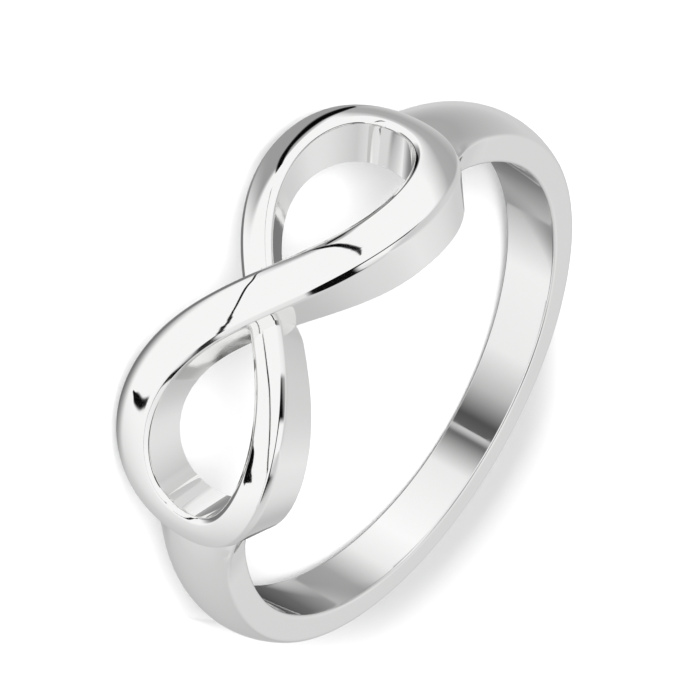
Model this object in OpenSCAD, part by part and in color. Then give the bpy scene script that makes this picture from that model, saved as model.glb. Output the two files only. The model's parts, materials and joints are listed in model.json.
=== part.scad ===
// Silver infinity ring, one solid casting, lying on its side as it rests by itself.
// The finger hole's axis leans a little, because the wide head lifts one side of the ring.
// The head faces -Y. The origin is on the floor, under the middle of the ring's box.

/* [Finger hole] */
// Inner diameter of the ring
bore_d = 16.5; // [15:0.1:20]

/* [Shank] */
// Thickness of the shank over its outer dome, halfway round to the head
shank_side_t = 1.35; // [1.2:0.05:1.5]
// Thickness of the shank over its outer dome, opposite the head
shank_back_t = 1.2; // [1:0.05:1.4]
// Thickness of the shank along its edges
shank_edge_t = 0.9; // [0.8:0.05:1]
// Radius of the shank's outer dome, seen along the band
dome_r = 2.2; // [2.1:0.1:3.5]
// Width of the shank opposite the head
shank_back_w = 1.8; // [1.6:0.1:2.4]
// Width of the shank halfway round to the head
shank_side_w = 2.4; // [2.2:0.1:2.8]
// Radius of the hollow curve that leads from the shank's flat face into a loop
fairing_r = 4.6; // [4:0.1:6]
// How far before the tip of the head the hollow curve starts
fairing_run = 2.6; // [2:0.1:3]

/* [Head] */
// Length of the infinity sign along its middle line, measured round the curve of the head
sign_length = 16.6; // [15.5:0.1:18]
// Width of the infinity sign across its middle line
sign_width = 4.95; // [4.6:0.1:5.4]
// Height of the head's rim above the finger hole
rim_h = 1.65; // [1.5:0.05:1.8]
// How much higher the upper strand stands where the strands cross
over_lift = 0.2; // [0.1:0.05:0.4]
// How much lower the lower strand lies where the strands cross
under_dip = 0.55; // [0.4:0.05:0.7]
// How far the outer walls of the loops spread towards the finger hole
wall_spread = 0.3; // [0.1:0.05:0.4]
// How much further the lower strand's outer walls spread beside the crossing
crossing_spread = 0.3; // [0.1:0.05:0.35]

/* [Strands] */
// Width of the upper strand, up to halfway along a loop
over_w = 1.55; // [1.3:0.05:1.7]
// Width of the lower strand
under_w = 1.1; // [0.95:0.05:1.4]
// How much lower a strand's edges lie than its middle
edge_drop = 0.34; // [0.2:0.02:0.4]
// How steeply a strand's crown leans outwards, halfway round a loop
crown_lean = 0.14; // [0.1:0.02:0.2]

/* [Hidden] */

// Smoothness of the round surfaces
$fn = 128;
// Degrees of the sign's parameter between two sections of a strand
section_step = 3;
// The strands start this far inside the finger hole, which is cut last
root_depth = 0.6;
// Reaches along the sign, in degrees of its parameter: of the lift and the dip at the crossing,
// of the upper strand's full width and of its change to the lower strand's width,
// of the upper strand's straight walls beside the crossing, and of the lower strand's straight walls
// below it and of their further spread beside it
lift_reach = 40;
dip_reach = 60;
full_width_reach = 30;
width_reach = 110;
straight_wall_reach = 30;
hidden_wall_reach = 8;
crossing_spread_reach = 50;

bore_r = bore_d / 2;
crown_r = bore_r + shank_side_t;
crown_shift = shank_side_t - shank_back_t;
rim_r = bore_r + rim_h;

// Half width of the shank as a straight line over the height towards the head
shank_back_half = shank_back_w / 2;
shank_back_y = crown_r - crown_shift - dome_r + sqrt(dome_r * dome_r - shank_back_half * shank_back_half);
shank_slope = (shank_side_w - shank_back_w) / 2 / shank_back_y;
function shank_half(height) = shank_side_w / 2 + shank_slope * height;

// Middle line of the infinity sign, laid flat: along the head and across it.
// The small second and third waves round the ends and straighten the crossing.
function sign_along(u) = sign_length / 2 * (1.013 * sin(u) - 0.008 * sin(3 * u) - 0.021 * sin(5 * u));
function sign_across(u) = sign_width / 2 * (0.96 * sin(2 * u) + 0.13 * sin(4 * u));

// Direction of the middle line and its outer normal, from a short step along it
function unit(v) = v / norm(v);
function sign_direction(u) = unit([
    sign_along(u + 0.5) - sign_along(u - 0.5),
    sign_across(u + 0.5) - sign_across(u - 0.5)]);
function sign_normal(u) = [-sign_direction(u).y, sign_direction(u).x];

// A smooth hill, 1 at the middle and 0 from the reach on
function hill(distance, reach) = abs(distance) >= reach ? 0 : pow(cos(90 * distance / reach), 2);
// Distances of the parameter from the middles of the upper and the lower strand
function from_over(u) = abs(u > 180 ? u - 360 : u);
function from_under(u) = 180 - from_over(u);

// Height of the crown above the ring's axis, and width, along the sign
function crown_height(u) = rim_r
    + over_lift * hill(from_over(u), lift_reach) - under_dip * hill(from_under(u), dip_reach);
function strand_w(u) = under_w
    + (over_w - under_w) * hill(max(0, from_over(u) - full_width_reach), width_reach);

// A strand's section from one side over the dome to the other: shares of half its width and of the drop
DOME = [
    [-1, 1],
    [-0.96, 0.6],
    [-0.86, 0.32],
    [-0.5, 0.09],
    [0, 0],
    [0.5, 0.09],
    [0.86, 0.32],
    [0.96, 0.6],
    [1, 1]];
root_r = bore_r - root_depth;

// A point of the head: a shift across the strand and a distance from the ring's axis
function head_point(u, shift, radius) =
    let (
        flat = [sign_along(u), sign_across(u)] + shift * sign_normal(u),
        turn = flat.x / rim_r * 180 / PI)
    [-radius * sin(turn), -radius * cos(turn), flat.y];

// Outer sides spread towards the finger hole, away from the crossing and the ends.
// Sides that face a loop's opening don't.
function spread(u, side) = side * sin(u) < 0 ? 0
    : (wall_spread + crossing_spread * hill(from_under(u), crossing_spread_reach)) * abs(sign_direction(u).x)
        * (1 - hill(from_over(u), straight_wall_reach)) * (1 - hill(from_under(u), hidden_wall_reach));
function root_shift(u, side) = side * (strand_w(u) / 2 + spread(u, side) * (crown_height(u) - root_r) / rim_h);
function section(u) = concat(
    [head_point(u, root_shift(u, -1), root_r)],
    [for (row = DOME) head_point(u, row[0] * strand_w(u) / 2,
        crown_height(u) - row[1] * edge_drop - row[0] * strand_w(u) / 2 * crown_lean * sin(u))],
    [head_point(u, root_shift(u, 1), root_r)]);

// Lean and rise of the resting ring: it touches the floor at the back of the shank and at a loop
function floor_point(u) = head_point(u, strand_w(u) / 2 + spread(u, 1), bore_r);
function lean_to(p) = atan((p.z - shank_back_half) / (shank_back_y - p.y));
lean = max([for (u = [10:1:80]) lean_to(floor_point(u))]);
rise = shank_back_y * sin(lean) + shank_back_half * cos(lean);

// Middle of the leaning ring's box from front to back
function front_of(p) = p.y * cos(lean) + p.z * sin(lean);
box_front = min([for (u = [-180:section_step:180], p = section(u)) if (norm([p.x, p.y]) > bore_r) front_of(p)]);
box_back = (crown_r - crown_shift - dome_r) * cos(lean) + dome_r;
box_middle = (box_front + box_back) / 2;

// One strand from end to end of the head, as a skin over its sections
module strand(from) {
    count = 180 / section_step;
    rings = [for (i = [0:count]) section(from + i * section_step)];
    size = len(rings[0]);
    polyhedron(
        points = [for (ring = rings, p = ring) p],
        faces = concat(
            [[for (j = [0:size - 1]) j]],
            [[for (j = [size - 1:-1:0]) count * size + j]],
            [for (i = [0:count - 1], j = [0:size - 1])
                [i * size + j, (i + 1) * size + j, i * size + (j + 1) % size]],
            [for (i = [0:count - 1], j = [0:size - 1])
                [i * size + (j + 1) % size, (i + 1) * size + j, (i + 1) * size + (j + 1) % size]]));
}

// Side view of the shank: flat faces that taper to the back, hollow curves up to the loops
module shank_side() {
    tip = rim_r * cos(sign_length / 2 / rim_r * 180 / PI);
    shoulder = tip - fairing_run;
    low = shank_half(shoulder);
    high = low + fairing_r - sqrt(fairing_r * fairing_r - fairing_run * fairing_run);
    far = -crown_r - 1;
    difference() {
        polygon([
            [far, -shank_half(far)],
            [shoulder, -low],
            [shoulder, -high],
            [crown_r, -high],
            [crown_r, high],
            [shoulder, high],
            [shoulder, low],
            [far, shank_half(far)]]);
        for (side = [-1, 1]) translate([shoulder, side * (low + fairing_r)]) circle(r = fairing_r);
    }
}

// The shank is domed outside and ends inside the tips of the two loops,
// short of their openings, at a third of the strand's width from its middle line
module shank() {
    end_turn = (sign_length / 2 - strand_w(90) / 3) / rim_r * 180 / PI;
    reach = 3 * crown_r;
    difference() {
        intersection() {
            union() {
                translate([0, -crown_shift, 0]) rotate_extrude() translate([crown_r - dome_r, 0]) circle(r = dome_r);
                cylinder(r = bore_r + shank_edge_t, h = reach, center = true);
            }
            rotate([0, 0, -90]) rotate([90, 0, 0])
                linear_extrude(height = reach, center = true) shank_side();
        }
        linear_extrude(height = reach, center = true)
            polygon([[0, 0], [-reach * sin(end_turn), -reach * cos(end_turn)],
                [reach * sin(end_turn), -reach * cos(end_turn)]]);
    }
}

module infinity_ring() {
    color("silver") translate([0, -box_middle, rise]) rotate([-lean, 0, 0])
        difference() {
            union() {
                shank();
                strand(-90);
                strand(90);
            }
            cylinder(r = bore_r, h = 3 * sign_width, center = true);
        }
}

infinity_ring();
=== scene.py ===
"""A polished silver infinity ring lying on a pale floor, seen as in its photograph."""

import json

import bmesh
import bpy
import numpy as np
from mathutils import Matrix, Vector


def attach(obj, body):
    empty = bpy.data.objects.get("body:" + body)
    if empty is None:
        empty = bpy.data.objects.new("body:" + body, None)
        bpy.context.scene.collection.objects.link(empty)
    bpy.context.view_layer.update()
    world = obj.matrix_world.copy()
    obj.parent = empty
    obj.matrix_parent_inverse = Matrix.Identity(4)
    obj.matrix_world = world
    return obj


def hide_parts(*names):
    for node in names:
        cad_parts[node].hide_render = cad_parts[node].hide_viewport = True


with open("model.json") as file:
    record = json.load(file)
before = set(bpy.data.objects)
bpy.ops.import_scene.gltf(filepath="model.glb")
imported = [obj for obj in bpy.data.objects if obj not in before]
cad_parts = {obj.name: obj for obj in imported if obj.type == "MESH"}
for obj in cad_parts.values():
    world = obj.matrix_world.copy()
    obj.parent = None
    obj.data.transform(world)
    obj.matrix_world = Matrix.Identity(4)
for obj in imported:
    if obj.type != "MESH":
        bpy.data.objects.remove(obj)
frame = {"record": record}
bpy.context.view_layer.update()

# Sizes in millimetres and degrees, as in the part's source
BORE_R = 8.25
SHANK_SIDE_T, SHANK_BACK_T, SHANK_EDGE_T, DOME_R = 1.35, 1.2, 0.9, 2.2
SHANK_BACK_W, SHANK_SIDE_W = 1.8, 2.4
FAIRING_R, FAIRING_RUN = 4.6, 2.6
SIGN_LENGTH, SIGN_WIDTH = 16.6, 4.95
RIM_H, OVER_LIFT, UNDER_DIP, WALL_SPREAD = 1.65, 0.2, 0.55, 0.3
OVER_W, UNDER_W = 1.55, 1.1
ROOT_DEPTH, CROSSING_SPREAD, CROWN_LEAN = 0.6, 0.3, 0.14
LIFT_REACH, DIP_REACH, FULL_WIDTH_REACH, WIDTH_REACH = 40, 60, 30, 110
STRAIGHT_WALL_REACH, HIDDEN_WALL_REACH, CROSSING_SPREAD_REACH = 30, 8, 50

CROWN_R = BORE_R + SHANK_SIDE_T
CROWN_SHIFT = SHANK_SIDE_T - SHANK_BACK_T
RIM_R = BORE_R + RIM_H

# The crown's drop per square of the shift from its middle, and the width and drop of the bevel along a strand's
# edge, where it faces a loop's opening and where it is an outer side of the sign
STRAND_CROWN = 0.27
HOLE_BEVEL, RIM_BEVEL = (0.17, 0.105), (0.13, 0.2)
# How far each corner is rounded either way: crown to bevel and bevel to wall, each by an opening and outside,
# and the shank's outer and inner corners
CROWN_CUT, EDGE_CUT = (0.045, 0.045), (0.05, 0.06)
SHANK_CORNER, BORE_CORNER = 0.09, 0.11
# Distances from a corner of the points that keep a flat face flat: on a wall, by the bore and by the dome
WALL_SUPPORT, BORE_SUPPORT, DOME_SUPPORT = 0.12, 0.17, 0.15
# How far the shank goes past the finger hole's wall, before the bar is cut out
BORE_SPARE = 0.003
# Sections along a strand and round the shank, points over a crown and a dome
STRAND_SECTIONS, SHANK_SECTIONS, CROWN_POINTS, DOME_POINTS = 401, 601, 15, 25
# The bar that cuts the finger hole: its points round, rows over the metal and their reach, and its half length
BAR_POINTS, BAR_ROWS, BAR_REACH, BAR_HALF = 720, 41, 2.6, 8
# Edges that turn by more than this are sharp, in degrees
SHARP_ANGLE = 24
MM = 0.001


def hill(distance, reach):
    """A smooth hill: the squared cosine of the distance, 1 at the middle and 0 from the reach on."""
    share = np.clip(np.abs(distance) / reach, 0, 1)
    return np.cos(np.pi / 2 * share) ** 2


def from_over(u):
    """Distance of the sign's parameter from the middle of the upper strand, in degrees."""
    return np.abs((u + 180) % 360 - 180)


def sign_middle(u):
    """Middle line of the infinity sign laid flat: sums of sines along the head and across it."""
    a = np.radians(u)
    along = SIGN_LENGTH / 2 * (1.013 * np.sin(a) - 0.008 * np.sin(3 * a) - 0.021 * np.sin(5 * a))
    across = SIGN_WIDTH / 2 * (0.96 * np.sin(2 * a) + 0.13 * np.sin(4 * a))
    return np.stack([along, across], -1)


def sign_direction(u):
    """Unit direction of the middle line, from a short step along it."""
    step = sign_middle(u + 0.5) - sign_middle(u - 0.5)
    return step / np.linalg.norm(step, axis=-1, keepdims=True)


def strand_width(u):
    """Width of the strand: the upper strand's, easing to the lower strand's past a loop's middle."""
    return UNDER_W + (OVER_W - UNDER_W) * hill(np.maximum(0, from_over(u) - FULL_WIDTH_REACH), WIDTH_REACH)


def crown_height(u):
    """Distance of a strand's crown from the ring's axis: lifted on top at the crossing, dipped below it."""
    return RIM_R + OVER_LIFT * hill(from_over(u), LIFT_REACH) - UNDER_DIP * hill(180 - from_over(u), DIP_REACH)


def wall_spread(u, side):
    """How far a strand's wall leans out at its foot: only outer walls, and most beside the crossing."""
    outer = side * np.sin(np.radians(u)) >= 0
    under = 180 - from_over(u)
    free = (1 - hill(from_over(u), STRAIGHT_WALL_REACH)) * (1 - hill(under, HIDDEN_WALL_REACH))
    spread = WALL_SPREAD + CROSSING_SPREAD * hill(under, CROSSING_SPREAD_REACH)
    return np.where(outer, spread * np.abs(sign_direction(u)[..., 0]) * free, 0)


def soften(corners, cuts, steps=6):
    """A row of sections with corners, each corner replaced by a short parabola.

    corners is sections x corners x 2 on an open line; a cut of 0 keeps its corner, and any other cut is the
    distance before and after the corner at which its parabola starts and ends, tangent to both sides.
    """
    parts = []
    for k, cut in enumerate(cuts):
        corner = corners[:, k]
        if np.isscalar(cut) and cut == 0:
            parts.append(corner[:, None])
            continue
        cut = np.broadcast_to(cut, len(corner))[:, None]
        to_last = corners[:, k - 1] - corner
        to_next = corners[:, k + 1] - corner
        start = corner + cut * to_last / np.linalg.norm(to_last, axis=-1, keepdims=True)
        end = corner + cut * to_next / np.linalg.norm(to_next, axis=-1, keepdims=True)
        t = np.linspace(0, 1, steps)[None, :, None]
        parts.append((1 - t) ** 2 * start[:, None] + 2 * t * (1 - t) * corner[:, None] + t ** 2 * end[:, None])
    return np.concatenate(parts, 1)


def towards(start, end, distance):
    """The points at a distance from a row of points on the way to another."""
    way = end - start
    return start + distance * way / np.linalg.norm(way, axis=-1, keepdims=True)


def on_outside(u, side):
    """1 where a strand's side is an outer side of the sign, 0 where it faces a loop's opening, eased between."""
    share = np.clip(0.5 + side * np.sin(np.radians(u)) / 0.8, 0, 1)
    return share * share * (3 - 2 * share)


def strand_corners(u):
    """Corners of the sections across a strand, as shift from the middle line and distance from the ring's axis.

    From the foot of one wall up to its top, over a narrow bevel, over the crown and down the other side. The
    crown's drop grows with the square of the shift, and the whole crown leans outwards with the sine of u.
    """
    half, crown = strand_width(u) / 2, crown_height(u)
    lean = CROWN_LEAN * np.sin(np.radians(u))
    root = BORE_R - ROOT_DEPTH

    def top(shift):
        return crown[:, None] - STRAND_CROWN * shift ** 2 - lean[:, None] * shift

    def foot(side):
        spread = wall_spread(u, side) * (crown - root) / RIM_H
        return np.stack([side * (half + spread), np.full_like(u, root)], -1)[:, None]

    def edge(side):
        outside = on_outside(u, side)
        width = HOLE_BEVEL[0] + (RIM_BEVEL[0] - HOLE_BEVEL[0]) * outside
        drop = HOLE_BEVEL[1] + (RIM_BEVEL[1] - HOLE_BEVEL[1]) * outside
        shift = side * (half - width)[:, None]
        return shift[:, 0], np.stack([side * half, top(shift)[:, 0] - drop], -1)[:, None]

    (low, low_edge), (high, high_edge) = edge(-1), edge(1)
    shift = low[:, None] + (high - low)[:, None] * np.linspace(0, 1, CROWN_POINTS)
    low_wall, high_wall = towards(low_edge, foot(-1), WALL_SUPPORT), towards(high_edge, foot(1), WALL_SUPPORT)
    return np.concatenate([foot(-1), low_wall, low_edge, np.stack([shift, top(shift)], -1),
                           high_edge, high_wall, foot(1)], 1)


def bend(u, sections):
    """Carries sections along the sign's middle line and bends the sign round the ring's axis."""
    direction = sign_direction(u)
    normal = np.stack([-direction[:, 1], direction[:, 0]], -1)
    flat = sign_middle(u)[:, None] + sections[..., :1] * normal[:, None]
    turn, radius = flat[..., 0] / RIM_R, sections[..., 1]
    return np.stack([-radius * np.sin(turn), -radius * np.cos(turn), flat[..., 1]], -1)


def strand(start):
    """One strand from end to end of the head: its sections with softened corners, carried along the sign."""
    u = np.linspace(start, start + 180, STRAND_SECTIONS)

    def cut(side, values):
        return values[0] + (values[1] - values[0]) * on_outside(u, side)

    low_cuts = [0, 0, cut(-1, EDGE_CUT), cut(-1, CROWN_CUT)]
    high_cuts = [cut(1, CROWN_CUT), cut(1, EDGE_CUT), 0, 0]
    return bend(u, soften(strand_corners(u), low_cuts + [0] * (CROWN_POINTS - 2) + high_cuts))


def shank_half(y):
    """Half width of the shank: a straight taper towards the back, then a hollow arc up to the head's loops."""
    back_half = SHANK_BACK_W / 2
    back_y = CROWN_R - CROWN_SHIFT - DOME_R + np.sqrt(DOME_R ** 2 - back_half ** 2)
    slope = (SHANK_SIDE_W - SHANK_BACK_W) / 2 / back_y
    shoulder = RIM_R * np.cos(SIGN_LENGTH / 2 / RIM_R) - FAIRING_RUN
    towards_head = -y
    straight = SHANK_SIDE_W / 2 + slope * np.minimum(towards_head, shoulder)
    run = np.clip(towards_head - shoulder, 0, FAIRING_RUN)
    return straight + FAIRING_R - np.sqrt(FAIRING_R ** 2 - run ** 2)


def shank():
    """The shank from loop to loop round the back: a domed section carried round the ring's axis.

    The dome is an arc whose own axis is shifted towards the head, so the back is thinner than the sides,
    and it is never thinner than the edge's thickness.
    """
    width_at_end = strand_width(np.array([90.0]))[0]
    end = np.pi - (SIGN_LENGTH / 2 - width_at_end / 3) / RIM_R
    turn = np.linspace(-end, end, SHANK_SECTIONS)
    sin, cos = np.sin(turn), np.cos(turn)

    def outer(z):
        rho = CROWN_R - DOME_R + np.sqrt(DOME_R ** 2 - z ** 2)
        dome = -CROWN_SHIFT * cos[:, None] + np.sqrt(rho ** 2 - (CROWN_SHIFT * sin[:, None]) ** 2)
        return np.maximum(dome, BORE_R + SHANK_EDGE_T)

    # The corner where dome and flat face meet, found from the face's half width at that radius
    rim = np.full((turn.size, 1), BORE_R + SHANK_EDGE_T)
    for _ in range(6):
        rim = outer(shank_half(rim * cos[:, None]))
    inside = np.full((turn.size, 1), BORE_R - BORE_SPARE)
    half_in, half_out = shank_half(inside * cos[:, None]), shank_half(rim * cos[:, None])
    across = half_out * np.linspace(-1, 1, DOME_POINTS)
    crown = np.stack([outer(across), across], -1)
    low = np.stack([inside, -half_in], -1)
    high = np.stack([inside, half_in], -1)
    middle = np.stack([inside, 0 * half_in], -1)
    low_face = [towards(low, crown[:, :1], BORE_SUPPORT), towards(crown[:, :1], low, DOME_SUPPORT)]
    high_face = [towards(crown[:, -1:], high, DOME_SUPPORT), towards(high, crown[:, -1:], BORE_SUPPORT)]
    corners = np.concatenate([middle, low, *low_face, crown, *high_face, high, middle], 1)
    cuts = [0, BORE_CORNER, 0, 0, SHANK_CORNER]
    section = soften(corners, cuts + [0] * (DOME_POINTS - 2) + cuts[::-1])[:, :-1]
    radius, z = section[..., 0], section[..., 1]
    return np.stack([radius * sin[:, None], radius * cos[:, None], z], -1)


def finger_bar():
    """A round bar as wide as the finger hole, which is cut out of the head and the shank."""
    turn = np.linspace(0, 2 * np.pi, BAR_POINTS, endpoint=False)[None]
    rows = np.linspace(-BAR_REACH, BAR_REACH, BAR_ROWS)
    depth = np.concatenate([[-BAR_HALF], rows, [BAR_HALF]])[:, None]
    return np.stack(np.broadcast_arrays(BORE_R * np.cos(turn), BORE_R * np.sin(turn), depth), -1)


def seat(points):
    """Moves points from the ring's own axes to the lying ring: the finger hole's place and lean say where."""
    hole = frame["record"]["mounts"][0]
    up = np.array(hole["axis"]) / np.linalg.norm(hole["axis"])
    side = np.array([1.0, 0.0, 0.0])
    back = np.cross(up, side)
    return points * MM @ np.stack([side, back, up]) + np.array(hole["pos_m"])


def solid(name, grid):
    """A closed mesh from rows of sections: each section joined to the next, a flat face at either end."""
    rows, columns = grid.shape[:2]
    index = np.arange(rows * columns).reshape(rows, columns)
    turned = np.roll(index, -1, 1)
    quads = np.stack([index[:-1], turned[:-1], turned[1:], index[1:]], -1).reshape(-1, 4)
    mesh = bpy.data.meshes.new(name)
    faces = [index[0][::-1].tolist(), index[-1].tolist()] + quads.tolist()
    mesh.from_pydata(seat(grid.reshape(-1, 3)).tolist(), [], faces)
    mesh.update()
    made = bpy.data.objects.new(name, mesh)
    bpy.context.scene.collection.objects.link(made)
    return made


def keep_largest(mesh):
    """Drops the loose slivers that a cut leaves, by labels that spread along the edges.

    Each island ends with the lowest number among its points as its label, and the commonest label is kept.
    """
    edges = np.empty(2 * len(mesh.edges), np.int32)
    mesh.edges.foreach_get("vertices", edges)
    a, b = edges.reshape(-1, 2).T
    label = np.arange(len(mesh.vertices))
    while True:
        lowest = np.minimum(label[a], label[b])
        spread = label.copy()
        np.minimum.at(spread, a, lowest)
        np.minimum.at(spread, b, lowest)
        spread = spread[spread]
        if np.array_equal(spread, label):
            break
        label = spread
    loose = label != np.bincount(label).argmax()
    if loose.any():
        shell = bmesh.new()
        shell.from_mesh(mesh)
        shell.verts.ensure_lookup_table()
        bmesh.ops.delete(shell, geom=[shell.verts[k] for k in np.flatnonzero(loose)], context="VERTS")
        shell.to_mesh(mesh)
        shell.free()


def cast(name, first, steps):
    """One closed casting: solids are joined to the first one or cut from it in turn, and the result is kept."""
    for tool, operation in steps:
        change = first.modifiers.new(operation.lower(), "BOOLEAN")
        change.operation, change.solver, change.object = operation, "MANIFOLD", tool
    view = bpy.context.evaluated_depsgraph_get()
    mesh = bpy.data.meshes.new_from_object(first.evaluated_get(view))
    mesh.name = name
    for gone in [first] + [tool for tool, _ in steps]:
        bpy.data.objects.remove(gone)
    keep_largest(mesh)
    made = bpy.data.objects.new(name, mesh)
    bpy.context.scene.collection.objects.link(made)
    return made


ring = cast(
    "ring_silver",
    solid("upper_strand", strand(-90)),
    [
        (solid("shank", shank()), "UNION"),
        (solid("lower_strand", strand(90)), "UNION"),
        (solid("finger_bar", finger_bar()), "DIFFERENCE"),
    ],
)
ring.data.shade_smooth()
ring.data.set_sharp_from_angle(angle=np.radians(SHARP_ANGLE))
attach(ring, "root")
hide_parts("infinity_ring")


def grey(level):
    """A neutral colour from a brightness of 0 to 255 as a screen shows it, as linear light."""
    share = level / 255
    linear = share / 12.92 if share <= 0.04045 else ((share + 0.055) / 1.055) ** 2.4
    return (linear, linear, linear, 1.0)


def ramp(nodes, stops, factor):
    """A colour ramp over a position of 0 to 1 from a short list of position and grey level."""
    made = nodes.new("ShaderNodeValToRGB")
    elements = made.color_ramp.elements
    while len(elements) < len(stops):
        elements.new(0.5)
    for element, (position, level) in zip(elements, stops):
        element.position, element.color = position, grey(level)
    made.id_data.links.new(factor, made.inputs["Fac"])
    return made.outputs["Color"]


def math(nodes, operation, *values):
    """One math node; a value is a number or another node's output."""
    made = nodes.new("ShaderNodeMath")
    made.operation = operation
    for socket, value in zip(made.inputs, values):
        if hasattr(value, "node"):
            made.id_data.links.new(value, socket)
        else:
            socket.default_value = value
    return made.outputs["Value"]


def ease(nodes, value, start, end, low=0.0, high=1.0):
    """A smooth step of a value: low up to the start, high from the end on."""
    made = nodes.new("ShaderNodeMapRange")
    made.interpolation_type = "SMOOTHSTEP"
    made.id_data.links.new(value, made.inputs["Value"])
    for name, number in (("From Min", start), ("From Max", end), ("To Min", low), ("To Max", high)):
        made.inputs[name].default_value = number
    return made.outputs["Result"]


def mix(nodes, factor, first, second):
    """Two colours mixed by a factor; each colour is an output or a grey level."""
    made = nodes.new("ShaderNodeMix")
    made.data_type = "RGBA"
    sockets = {s.identifier: s for s in made.inputs}
    for socket, value in (("Factor_Float", factor), ("A_Color", first), ("B_Color", second)):
        if hasattr(value, "node"):
            made.id_data.links.new(value, sockets[socket])
        else:
            sockets[socket].default_value = grey(value)
    return [s for s in made.outputs if s.identifier == "Result_Color"][0]


def polished_silver():
    """Mirror-polished silver: a near-white metal whose gloss varies faintly where the wheel has passed."""
    made = bpy.data.materials.new("polished_silver")
    made.use_nodes = True
    nodes, links = made.node_tree.nodes, made.node_tree.links
    shader = nodes["Principled BSDF"]
    shader.inputs["Base Color"].default_value = (0.955, 0.955, 0.95, 1.0)
    shader.inputs["Metallic"].default_value = 1.0
    place = nodes.new("ShaderNodeTexCoord").outputs["Object"]
    cloud = nodes.new("ShaderNodeTexNoise")
    cloud.inputs["Scale"].default_value, cloud.inputs["Detail"].default_value = 900.0, 3.0
    links.new(place, cloud.inputs["Vector"])
    links.new(ease(nodes, cloud.outputs["Fac"], 0.35, 0.7, 0.035, 0.075), shader.inputs["Roughness"])
    return made


ring.data.materials.clear()
ring.data.materials.append(polished_silver())

# What the silver mirrors, all round, by direction: the position 0 to 1 goes from -180 to 180 degrees off +Y.
# The low ramp is for the horizon, and the high one for further up.
LOW_BAND = [(0.0, 250), (0.2, 250), (0.25, 175), (0.3, 170), (0.4, 210), (0.5, 210), (0.55, 190), (0.7, 210),
            (0.85, 250), (1.0, 250)]
HIGH_BAND = [(0.0, 250), (0.2, 250), (0.3, 205), (0.5, 235), (0.7, 205), (0.85, 250), (1.0, 250)]
HIGH_START, HIGH_END = 0.0, 0.64
# The grey ground straight below
GROUND_START, GROUND_END, GROUND_GREY = -0.72, -0.9, 120
# The dark arc high up, mirrored mostly by the rounded edges: its share round the turn, and the sines of the
# elevations between which it begins and ends
HIGH_ARC = [(0.0, 255), (0.2, 255), (0.25, 0), (0.66, 0), (0.70, 255), (1.0, 255)]
ARC_START, ARC_END = (0.72, 0.76), (0.96, 0.93)
ARC_GREY = 10
# The strength of the even light on what isn't mirrored
SOFT_LIGHT = 0.87


def studio():
    """The studio round the ring: what metal mirrors, and an even soft light for everything else."""
    world = bpy.data.worlds.new("studio")
    bpy.context.scene.world = world
    world.use_nodes = True
    nodes, links = world.node_tree.nodes, world.node_tree.links
    nodes.clear()
    way = nodes.new("ShaderNodeTexCoord").outputs["Generated"]
    parts = nodes.new("ShaderNodeSeparateXYZ")
    links.new(way, parts.inputs["Vector"])
    x, y, z = parts.outputs
    turn = math(nodes, "MULTIPLY_ADD", math(nodes, "ARCTAN2", x, y), 0.5 / np.pi, 0.5)
    low, high = ramp(nodes, LOW_BAND, turn), ramp(nodes, HIGH_BAND, turn)
    band = mix(nodes, ease(nodes, z, HIGH_START, HIGH_END), low, high)
    band = mix(nodes, ease(nodes, z, GROUND_START, GROUND_END), band, GROUND_GREY)
    arc = math(nodes, "MULTIPLY", ease(nodes, z, *ARC_START), ease(nodes, z, *ARC_END))
    arc = math(nodes, "MULTIPLY", arc, ramp(nodes, HIGH_ARC, turn))
    band = mix(nodes, arc, band, ARC_GREY)
    mirrored, soft = nodes.new("ShaderNodeBackground"), nodes.new("ShaderNodeBackground")
    links.new(band, mirrored.inputs["Color"])
    soft.inputs["Color"].default_value = (1.0, 1.0, 1.0, 1.0)
    soft.inputs["Strength"].default_value = SOFT_LIGHT
    ray, both, out = (nodes.new(f"ShaderNode{kind}") for kind in ("LightPath", "MixShader", "OutputWorld"))
    links.new(ray.outputs["Is Glossy Ray"], both.inputs["Fac"])
    links.new(soft.outputs[0], both.inputs[1])
    links.new(mirrored.outputs[0], both.inputs[2])
    links.new(both.outputs[0], out.inputs["Surface"])


studio()


def only_mirrored(card):
    """A card that only the silver mirrors: it is no part of the ring, and neither seen nor shading anything."""
    card.visible_camera = card.visible_diffuse = card.visible_shadow = False
    card.visible_transmission = card.visible_volume_scatter = False


def sheet(name, grid, material=None, **values):
    """An open surface from a grid of places in metres, with a material and any values kept at its points."""
    rows, columns = grid.shape[:2]
    index = np.arange(rows * columns).reshape(rows, columns)
    quads = np.stack([index[:-1, :-1], index[:-1, 1:], index[1:, 1:], index[1:, :-1]], -1).reshape(-1, 4)
    mesh = bpy.data.meshes.new(name)
    mesh.from_pydata(grid.reshape(-1, 3).tolist(), [], quads.tolist())
    for value, numbers in values.items():
        numbers = np.broadcast_to(numbers, (rows, columns)).ravel().astype(np.float32)
        mesh.attributes.new(value, "FLOAT", "POINT").data.foreach_set("value", numbers)
    if material is not None:
        mesh.materials.append(material)
    made = bpy.data.objects.new(name, mesh)
    bpy.context.scene.collection.objects.link(made)
    return made


def attribute(nodes, name):
    """The output of a value kept at a mesh's points."""
    made = nodes.new("ShaderNodeAttribute")
    made.attribute_name = name
    return made.outputs["Fac"]


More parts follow.
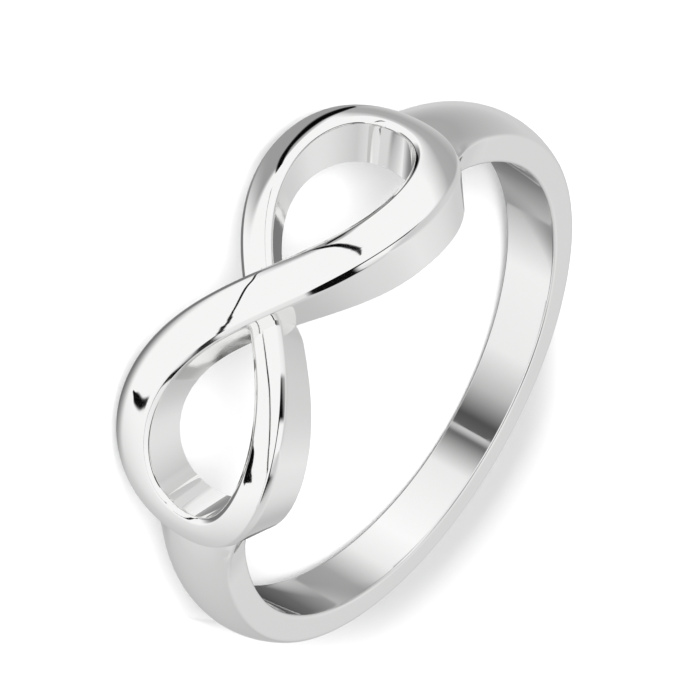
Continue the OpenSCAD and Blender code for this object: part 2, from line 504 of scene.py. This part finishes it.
def glow(name):
    """A material that shines where its share says, else is clear: it, its nodes, and its colour and share inputs."""
    made = bpy.data.materials.new(name)
    made.use_nodes = True
    nodes, links = made.node_tree.nodes, made.node_tree.links
    nodes.clear()
    kinds = ("Emission", "BsdfTransparent", "MixShader", "OutputMaterial")
    shine, clear, both, out = (nodes.new(f"ShaderNode{kind}") for kind in kinds)
    links.new(clear.outputs[0], both.inputs[1])
    links.new(shine.outputs[0], both.inputs[2])
    links.new(both.outputs[0], out.inputs["Surface"])
    return made, nodes, shine.inputs["Color"], both.inputs["Fac"]


def card(name, level, reach=None, covered=True, from_above=False):
    """A material that shines in one grey level, and is clear elsewhere.

    It shines where the mesh's own cover is 1, for rays shorter than its reach in metres, and for rays from above,
    each only where it is asked for.
    """
    made, nodes, shine, share = glow(name)
    shine.default_value = grey(level)
    factors = []
    if covered:
        factors.append(attribute(nodes, "cover"))
    if reach is not None:
        factors.append(math(nodes, "LESS_THAN", nodes.new("ShaderNodeLightPath").outputs["Ray Length"], reach))
    if from_above:
        factors.append(nodes.new("ShaderNodeNewGeometry").outputs["Backfacing"])
    product = factors[0]
    for factor in factors[1:]:
        product = math(nodes, "MULTIPLY", product, factor)
    made.node_tree.links.new(product, share)
    return made


def smooth_line(points, steps=24):
    """A smooth line through points: between two of them, the cubic that Catmull and Rom's rule gives."""
    points = np.array(points, float)
    ends = np.concatenate([2 * points[:1] - points[1:2], points, 2 * points[-1:] - points[-2:-1]])
    t = np.linspace(0, 1, steps, endpoint=False)[None, :, None]
    a, b, c, d = (ends[k:len(ends) - 3 + k, None] for k in range(4))
    line = 0.5 * (2 * b + (c - a) * t + (2 * a - 5 * b + 4 * c - d) * t ** 2 + (3 * b - a - 3 * c + d) * t ** 3)
    return np.concatenate([line.reshape(-1, points.shape[1]), points[-1:]])


# Places across a strip, as shares of its width, and its cover there
STRIP_SHARES = np.array([-0.5, -0.3, 0.3, 0.5])
STRIP_COVER = [0.0, 1.0, 1.0, 0.0]


def strip(name, points, width, material, level=True):
    """A strip along a smooth line of points and widths in metres: level, or else turned to the head."""
    line = smooth_line(np.column_stack([points, width]))
    middle, width = line[:, :3], line[:, 3:]
    facing = np.broadcast_to([0.0, 0.0, 1.0], middle.shape) if level else HEAD - middle
    across = np.cross(facing, np.gradient(middle, axis=0))
    across /= np.linalg.norm(across, axis=1, keepdims=True)
    grid = middle[:, None] + STRIP_SHARES[None, :, None] * width[:, None] * across[:, None]
    only_mirrored(sheet(name, grid, material, cover=STRIP_COVER))


# The middle of the head, in metres
HEAD = np.array([0.0, -0.0098, 0.004])
# The grey level of black cards
BLACK = 8
# Dark strips before the head, whose images are the fine black lines on the strands. Each has its height, the
# longest ray that meets it or None, and rows of a place, from left to right and from front to back, and a width,
# all in millimetres. The strips above the floor are mirrored only where the head looks down on them.
STRIPS = {
    "strip_crescent": (0.05, 7.8, [
        (-8.5, -6.0, 0.4), (-8.3, -7.2, 1.0), (-7.6, -8.7, 1.3), (-7.1, -10.5, 1.4), (-7.1, -11.5, 1.4),
        (-7.9, -13.5, 1.3), (-9.0, -15.2, 0.9)]),
    "strip_hook": (4.0, None, [
        (-2.2, -9.2, 0.1), (-3.0, -9.7, 0.2), (-3.9, -10.3, 0.35), (-4.7, -11.2, 0.4), (-6.2, -13.4, 0.55),
        (-11, -21, 1), (-24, -42, 2.2), (-60, -100, 5.5), (-160, -262, 14)]),
    "strip_middle_near": (3.2, 2.8, [
        (-1.1, -9.5, 0.1), (-0.8, -10.1, 0.15), (-0.3, -10.4, 0.2), (0.3, -11.0, 0.25), (1.4, -12.3, 0.35)]),
    "strip_middle": (3.2, None, [
        (1.1, -11.9, 0.35), (1.4, -12.3, 0.35), (2.7, -14.2, 0.6), (4.2, -17, 0.85), (7.4, -22.3, 1.3),
        (14.5, -34.5, 2.4), (29, -59.5, 4.6), (72, -133, 11), (200, -352, 26)]),
    "strip_lower": (0.05, 14.0, [
        (5.4, -9.6, 0.1), (5.8, -9.8, 0.3), (6.5, -10.2, 0.7), (8.6, -11.6, 0.8), (11.6, -13.9, 0.85),
        (15.0, -16.4, 0.9)]),
}


def lay_strips():
    """Lays each dark strip level at its height."""
    for name, (height, reach, rows) in STRIPS.items():
        x, y, width = np.array(rows).T * MM
        black = card(name + "_black", BLACK, reach and reach * MM, from_above=height > 1)
        strip(name, np.stack([x, y, np.full_like(x, height * MM)], 1), width, black)


lay_strips()

# The two sides of the dark wedge, from left to right and from front to back, and its height, in millimetres
WEDGE_NEAR = [(4.95, -9.5), (6.1, -10.6), (6.95, -11.0), (7.9, -11.2), (9.0, -12.0), (11.0, -13.2)]
WEDGE_FAR = [(4.9, -9.2), (5.3, -9.2), (5.8, -9.3), (6.4, -9.3), (6.9, -9.55), (7.5, -9.65)]
WEDGE_HEIGHT = 4.0


def wedge_card():
    """A dark level wedge between two smooth lines, whose image lies by the lower loop's opening."""
    sides = np.stack([smooth_line(WEDGE_NEAR, 6), smooth_line(WEDGE_FAR, 6)], 1)
    grid = np.concatenate([sides, np.full_like(sides[..., :1], WEDGE_HEIGHT)], -1) * MM
    only_mirrored(sheet("wedge_card", grid, card("wedge_black", BLACK, covered=False, from_above=True)))


wedge_card()

# Dark flags on a sphere of 1 m round the head: rows of azimuth, elevation and width, in degrees
FLAGS = {
    "flag_middle": [(151, -1.5, 2.2), (149, 0, 2.5), (140, 7, 2.3), (127, 17, 2.2), (113, 22, 2.4), (100, 27, 2.5)],
    "flag_upper": [(213, -7, 1.8), (211, 1, 2.6), (207, 10, 0.8)],
}


def hang_flags():
    """Hangs each dark flag a metre from the head, turned to it."""
    black = card("flag_black", BLACK)
    for name, rows in FLAGS.items():
        azimuth, elevation, width = np.radians(rows).T
        level = np.cos(elevation)
        way = np.stack([np.sin(azimuth) * level, np.cos(azimuth) * level, np.sin(elevation)], 1)
        strip(name, HEAD + way, width, black, level=False)


hang_flags()


def step(value, start, end):
    """A smooth step of an array, from 0 at the start to 1 at the end."""
    share = np.clip((value - start) / (end - start), 0, 1)
    return share * share * (3 - 2 * share)


# The grey level of the patch on the floor, and its height above it
SHADOW_GREY, SHADOW_HEIGHT = 158, 0.02


def shadow_card():
    """A grey patch on the floor by the head's lower side, soft all round, as the floor's shade looks in the silver.

    Its cover is a product of smooth steps over its two places in millimetres, less the corner under the head.
    """
    x, y = np.meshgrid(np.linspace(-11, 2, 66), np.linspace(-16, -4, 61), indexing="ij")
    cover = step(y, -14.2, -12.2) * step(x, -1.5, -5.0) * step(x, -9.0, -8.0)
    cover *= 1 - step(x, -6.2, -4.8) * step(y, -8.2, -7.0)
    grid = np.stack([x, y, np.full_like(x, SHADOW_HEIGHT)], -1) * MM
    only_mirrored(sheet("shadow_card", grid, card("grey_card", SHADOW_GREY), cover=cover))


shadow_card()


def shares_of(table):
    """Places along the band, in degrees q off its back, as positions on the sleeve's ramp, in order.

    What the band mirrors at q lies at 180 + 3 q round the sleeve, off its back, which is at position 0.5.
    """
    return sorted(((180 + 3 * q + 180) % 360 / 360, level) for q, level in table)


# The grey levels that the inside of the band mirrors, by place along it: up to 60 degrees off its back, deep in
# the sleeve, and past that, near the ring. The bright line near the back is the step at 0.6 degrees.
MIDDLE = [(-59.9, 185), (-42, 245), (-20, 240), (-10, 190), (-3, 80), (-0.6, 95), (0.6, 200), (2, 95),
          (10, 240), (30, 255), (40, 240), (50, 165), (59.9, 155)]
ENDS = [(-89, 95), (-75, 130), (-60.1, 185), (60.1, 155), (70, 105), (80, 80), (89, 80)]
DEEP_RAMP = shares_of(MIDDLE)
NEAR_RAMP = [(0.0, 220), (0.2, 215)] + shares_of(ENDS) + [(0.8, 215), (1.0, 220)]
# The sleeve's radius, and the depths of its rows below the ring's middle with the near ramp's share at each
SLEEVE_R = BORE_R - 0.03
SLEEVE_ROWS = [(-14.0, 0.0), (-4.9, 0.0), (-3.6, 1.0), (-1.0, 1.0)]


def sleeve():
    """A sleeve under the finger hole that the inside of the band mirrors, clear from outside.

    A ray mirrored at an angle q off the back of the band meets the sleeve at three times that angle from the
    front, the deeper the smaller q is, so two ramps by angle are enough: one deep down and one near the ring.
    """
    turn = np.linspace(-np.pi, np.pi, 361)
    depth, near = np.array(SLEEVE_ROWS).T[..., None]
    grid = np.stack(np.broadcast_arrays(SLEEVE_R * np.sin(turn), SLEEVE_R * np.cos(turn), depth), -1)
    made, nodes, shine, share = glow("sleeve_shade")
    place = attribute(nodes, "turn_share")
    deep, shallow = ramp(nodes, DEEP_RAMP, place), ramp(nodes, NEAR_RAMP, place)
    links = made.node_tree.links
    links.new(mix(nodes, attribute(nodes, "near_share"), deep, shallow), shine)
    outside = nodes.new("ShaderNodeNewGeometry").outputs["Backfacing"]
    links.new(math(nodes, "SUBTRACT", 1.0, outside), share)
    places = seat(grid.reshape(-1, 3)).reshape(grid.shape)
    only_mirrored(sheet("sleeve", places, made, turn_share=turn / (2 * np.pi) + 0.5, near_share=near))


sleeve()


FLOOR_HALF = 3.0
FLOOR_WHITE = 0.86


def floor():
    """A plain pale floor, wide enough to fill every view."""
    across, along = np.meshgrid([-FLOOR_HALF, FLOOR_HALF], [-FLOOR_HALF, FLOOR_HALF])
    material = bpy.data.materials.new("pale_floor")
    material.use_nodes = True
    shader = material.node_tree.nodes["Principled BSDF"]
    shader.inputs["Base Color"].default_value = (FLOOR_WHITE, FLOOR_WHITE, FLOOR_WHITE, 1.0)
    shader.inputs["Roughness"].default_value = 0.9
    shader.inputs["Specular IOR Level"].default_value = 0.0
    made = sheet("floor", np.stack([across, along, 0 * across], -1), material)
    made.visible_glossy = False


floor()


# The flag's two half widths, its gap to the floor, its height at the ends and what it gains between, in millimetres
SHADE_HALF_X, SHADE_HALF_Y = 10.0, 9.8
SHADE_GAP, SHADE_LOW, SHADE_RISE = 0.2, 0.1, 4.2
# Its two ends, in degrees off the back, and the share of its length over which it rises from either end
SHADE_ENDS, SHADE_SLOPE = (-55, 88), 0.3


def shade_flag():
    """A low dark flag close behind the band, unseen and unmirrored, which lengthens the band's soft shade there."""
    turn = np.radians(np.linspace(*SHADE_ENDS, 120))
    share = np.linspace(0, 1, turn.size)
    height = SHADE_LOW + SHADE_RISE * np.clip(np.minimum(share, 1 - share) / SHADE_SLOPE, 0, 1)
    x, y = SHADE_HALF_X * np.sin(turn), SHADE_HALF_Y * np.cos(turn)
    z = SHADE_GAP + np.stack([0 * height, height], -1)
    grid = np.stack(np.broadcast_arrays(x[:, None], y[:, None], z), -1) * MM
    made = sheet("shade_flag", grid)
    made.visible_camera = made.visible_glossy = made.visible_transmission = False


shade_flag()


def soft_box(name, place, target, size, power):
    """A square soft light at a place, turned to a target."""
    light = bpy.data.lights.new(name, "AREA")
    light.size, light.energy = size, power
    made = bpy.data.objects.new(name, light)
    made.location = place
    made.rotation_euler = (Vector(target) - Vector(place)).to_track_quat("-Z", "Y").to_euler()
    made.visible_glossy = False
    bpy.context.scene.collection.objects.link(made)


soft_box("key", (-0.02, -0.20, 0.17), (0, 0, 0), 0.14, 0.95)


# The camera's place in metres, the ways to its right, up and back, and its long lens in millimetres
CAMERA_PLACE = (0.003232, -0.114626, 0.087431)
CAMERA_RIGHT = (-0.49824, 0.511576, 0.700034)
CAMERA_UP = (-0.866686, -0.316886, -0.385276)
CAMERA_BACK = (0.024733, -0.79867, 0.601261)
LENS = 224.142


def camera():
    """The camera at the photograph's angle to the ring: 37 degrees above the floor, and rolled."""
    data = bpy.data.cameras.new("camera")
    data.lens, data.sensor_width = LENS, 36.0
    data.clip_start, data.clip_end = 0.01, 20.0
    made = bpy.data.objects.new("camera", data)
    turn = Matrix((CAMERA_RIGHT, CAMERA_UP, CAMERA_BACK)).transposed().to_4x4()
    made.matrix_world = Matrix.Translation(CAMERA_PLACE) @ turn
    bpy.context.scene.collection.objects.link(made)
    bpy.context.scene.camera = made


camera()
bpy.context.scene.view_settings.view_transform = "Standard"

bpy.context.view_layer.update()
